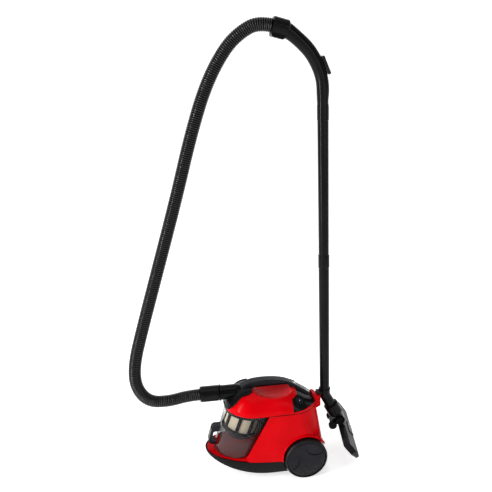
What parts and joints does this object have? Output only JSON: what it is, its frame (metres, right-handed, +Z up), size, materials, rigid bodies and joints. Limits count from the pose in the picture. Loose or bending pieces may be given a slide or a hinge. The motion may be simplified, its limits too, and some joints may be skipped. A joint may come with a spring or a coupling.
{
  "type": "canister vacuum cleaner",
  "caption": "Wheeled canister vacuum cleaner with a clear cyclone cup, ribbed hose and bent grip, its wand and floor head parked upright on the back.",
  "frame": {"origin": "on the floor under the middle of the rear axle", "axes": "+Z up, front of the canister towards -X, +Y to the canister's left"},
  "size_m": [0.784, 0.2666, 1.4615],
  "materials": {
    "red_gloss": "glossy moulded red",
    "black_satin": "satin black moulding",
    "hose_black": "ribbed satin black",
    "dark_grey": "dark grey moulding with a faint metallic look",
    "light_grey": "pale grey moulding",
    "pale_trim": "silvery trim",
    "smoky_clear": "clear, lightly smoked",
    "filter_beige": "pleated filter cloth",
    "foam_grey": "open-cell foam",
    "rubber_black": "matt rubber",
    "motor_metal": "cast and turned",
    "steel": "turned steel",
    "bristle_black": "short bristles"
  },
  "bodies": {
    "canister": {"base_chassis": "black_satin", "main_housing": "red_gloss", "exhaust_grille": "black_satin", "cord_outlet": "black_satin", "park_socket": "red_gloss", "top_cover": "red_gloss", "nose_frame": "black_satin", "hose_inlet": "black_satin", "carry_handle": "dark_grey", "handle_liner": "black_satin", "handle_trim": "pale_trim", "right_side_panel": "black_satin", "left_side_panel": "black_satin", "power_switch": "black_satin", "motor_housing": "motor_metal", "motor_mount": "rubber_black", "pre_motor_filter": "foam_grey", "exhaust_filter": "foam_grey", "reel_spindle": "steel", "housing_screws": "steel", "wheel_axles": "steel", "hose": "hose_black"},
    "right_wheel_set": {"right_tyre": "rubber_black", "right_wheel": "black_satin", "right_hub_cap": "dark_grey"},
    "left_wheel_set": {"left_tyre": "rubber_black", "left_wheel": "black_satin", "left_hub_cap": "dark_grey"},
    "caster": {"caster_fork": "black_satin", "caster_axle": "steel"},
    "caster_roll": {"caster_wheel": "dark_grey"},
    "cup": {"dust_cup": "smoky_clear", "cup_cap": "dark_grey", "cup_seal": "rubber_black", "cup_handle": "dark_grey", "filter_frame": "black_satin", "filter_media": "filter_beige", "cyclone_cone": "dark_grey"},
    "cup_button": {"cup_release_button": "black_satin"},
    "power_key": {"power_button": "dark_grey"},
    "rewind_key": {"rewind_button": "dark_grey"},
    "rotor": {"motor_rotor": "steel"},
    "reel": {"reel_drum": "black_satin"},
    "hose_swivel": {"inlet_cuff": "black_satin"},
    "wand": {"grip_cuff": "black_satin", "grip_tube": "black_satin", "upper_tube": "black_satin", "lower_tube": "black_satin", "neck_elbow": "black_satin", "park_hook": "black_satin"},
    "slider": {"suction_slider": "dark_grey"},
    "knuckle": {"neck_knuckle": "black_satin", "roller_axles": "steel"},
    "head": {"head_top_shell": "dark_grey", "head_sole_plate": "black_satin", "hinge_pins": "steel"},
    "pedal": {"head_pedal": "light_grey"},
    "brush": {"brush_strip": "bristle_black"},
    "right_head_roller": {"right_roller": "rubber_black"},
    "left_head_roller": {"left_roller": "rubber_black"}
  },
  "joints": [
    {"name": "right_wheel_spin", "type": "hinge", "parent": "canister", "child": "right_wheel_set", "pos_m": [0, -0.11, 0.0717], "axis": [0, 1, 0], "continuous": true},
    {"name": "left_wheel_spin", "type": "hinge", "parent": "canister", "child": "left_wheel_set", "pos_m": [0, 0.11, 0.0717], "axis": [0, 1, 0], "continuous": true},
    {"name": "caster_swivel", "type": "hinge", "parent": "canister", "child": "caster", "pos_m": [-0.215, 0, 0.045], "axis": [0, 0, 1], "continuous": true},
    {"name": "caster_spin", "type": "hinge", "parent": "caster", "child": "caster_roll", "pos_m": [-0.204, 0, 0.017], "axis": [0, 1, 0], "continuous": true},
    {"name": "cup_slide", "type": "slide", "parent": "canister", "child": "cup", "axis": [-1, 0, 0], "range_m": [0, 0.21]},
    {"name": "cup_release", "type": "slide", "parent": "cup", "child": "cup_button", "axis": [1, 0, 0], "range_m": [0, 0.003], "stiffness_N_per_m": 500},
    {"name": "power_press", "type": "slide", "parent": "canister", "child": "power_key", "axis": [-0.3272, 0.4672, -0.8214], "range_m": [0, 0.003], "stiffness_N_per_m": 600},
    {"name": "rewind_press", "type": "slide", "parent": "canister", "child": "rewind_key", "axis": [-0.3272, -0.4672, -0.8214], "range_m": [0, 0.003], "stiffness_N_per_m": 600},
    {"name": "rotor_spin", "type": "hinge", "parent": "canister", "child": "rotor", "pos_m": [0, 0.038, 0.15], "axis": [1, 0, 0], "continuous": true},
    {"name": "reel_spin", "type": "hinge", "parent": "canister", "child": "reel", "pos_m": [-0.03, -0.066, 0.136], "axis": [0, 1, 0], "continuous": true},
    {"name": "hose_turn", "type": "hinge", "parent": "canister", "child": "hose_swivel", "pos_m": [-0.273, 0, 0.282], "axis": [1, 0, 0], "continuous": true, "deforming": ["hose"]},
    {"name": "wand_lift", "type": "slide", "parent": "canister", "child": "wand", "axis": [-0.0436, 0, 0.999], "range_m": [0, 0.07], "deforming": ["hose"]},
    {"name": "suction_slide", "type": "slide", "parent": "wand", "child": "slider", "axis": [-0.4166, 0, 0.9091], "range_m": [0, 0.012]},
    {"name": "head_swivel", "type": "hinge", "parent": "wand", "child": "knuckle", "pos_m": [0.11239, 0, 0.20011], "axis": [0.4942, 0, -0.8693], "range_deg": [-20, 20]},
    {"name": "head_tilt", "type": "hinge", "parent": "knuckle", "child": "head", "pos_m": [0.146, 0, 0.141], "axis": [-0.1685, -0.9857, 0], "range_deg": [0, 75]},
    {"name": "pedal_rock", "type": "hinge", "parent": "head", "child": "pedal", "pos_m": [0.18117, -0.00601, 0.09003], "axis": [0.1685, 0.9857, 0], "range_deg": [0, 6]},
    {"name": "brush_drop", "type": "slide", "parent": "head", "child": "brush", "axis": [-0.7714, 0.1319, -0.6225], "range_m": [0, 0.004]},
    {"name": "right_roller_spin", "type": "hinge", "parent": "knuckle", "child": "right_head_roller", "pos_m": [0.11747, -0.02505, 0.12799], "axis": [0.1685, 0.9857, 0], "continuous": true},
    {"name": "left_roller_spin", "type": "hinge", "parent": "knuckle", "child": "left_head_roller", "pos_m": [0.12741, 0.03311, 0.12799], "axis": [0.1685, 0.9857, 0], "continuous": true}
  ],
  "couplings": [
    {"joint": "brush_drop", "follows": "pedal_rock", "m_per_rad": 0.038197}
  ]
}
